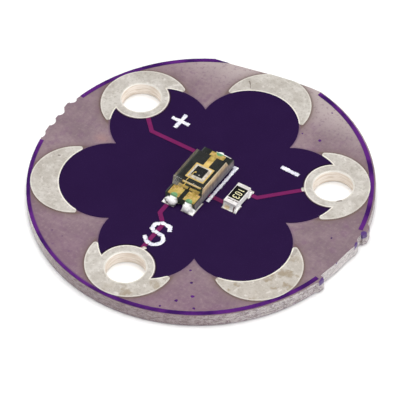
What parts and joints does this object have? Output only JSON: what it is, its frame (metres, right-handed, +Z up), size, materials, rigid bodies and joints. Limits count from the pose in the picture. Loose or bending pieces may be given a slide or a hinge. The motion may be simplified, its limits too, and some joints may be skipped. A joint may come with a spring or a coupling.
{
  "type": "light sensor module",
  "caption": "Round sew-on light sensor board: purple petal-shaped mask, plated sew tabs, clear-moulded phototransistor and a chip resistor",
  "frame": {"origin": "centre of the petal pattern, on the underside's copper", "axes": "+Z up through the board to the sensor, +Y along the sensor away from the signal tab"},
  "size_m": [0.0201, 0.0198, 0.002],
  "materials": {
    "laminate": "matte, glass fibre",
    "tin": "matte tin",
    "mask": "satin",
    "mask_rim": "satin",
    "gold": "satin",
    "bond_gold": "polished",
    "carrier": "satin",
    "clear": "clear moulding",
    "die": "polished",
    "glue": "dull silver",
    "resist": "satin",
    "solder": "bright",
    "ceramic": "matte",
    "coat": "satin",
    "film": "matte",
    "cap": "matte tin"
  },
  "bodies": {
    "root": {"board_laminate": "laminate", "plus_net": "tin", "minus_net": "tin", "signal_net": "tin", "spare_pad": "tin", "top_mask_flower": "mask", "bottom_mask_flower": "mask", "sensor_carrier": "carrier", "collector_lead": "gold", "emitter_lead": "gold", "spare_lead": "gold", "die_attach": "glue", "sensor_die": "die", "bond_wire": "bond_gold", "clear_body": "clear", "resistor_ceramic": "ceramic", "resistor_film": "film", "resistor_overcoat": "coat", "resistor_cap_far": "cap", "resistor_cap_near": "cap", "solder_resistor_far": "solder", "solder_resistor_near": "solder", "top_crescent_90": "tin", "top_crescent_210": "tin", "top_crescent_330": "tin", "top_mask_rim_west": "mask_rim", "top_mask_rim_south": "mask_rim", "top_mask_rim_east": "mask_rim", "bottom_crescent_90": "tin", "bottom_crescent_210": "tin", "bottom_crescent_330": "tin", "bottom_mask_rim_west": "mask_rim", "bottom_mask_rim_south": "mask_rim", "bottom_mask_rim_east": "mask_rim", "contact_plug_far": "resist", "solder_sensor_far": "solder", "contact_plug_left": "resist", "solder_sensor_left": "solder", "contact_plug_right": "resist", "solder_sensor_right": "solder"}
  },
  "joints": []
}
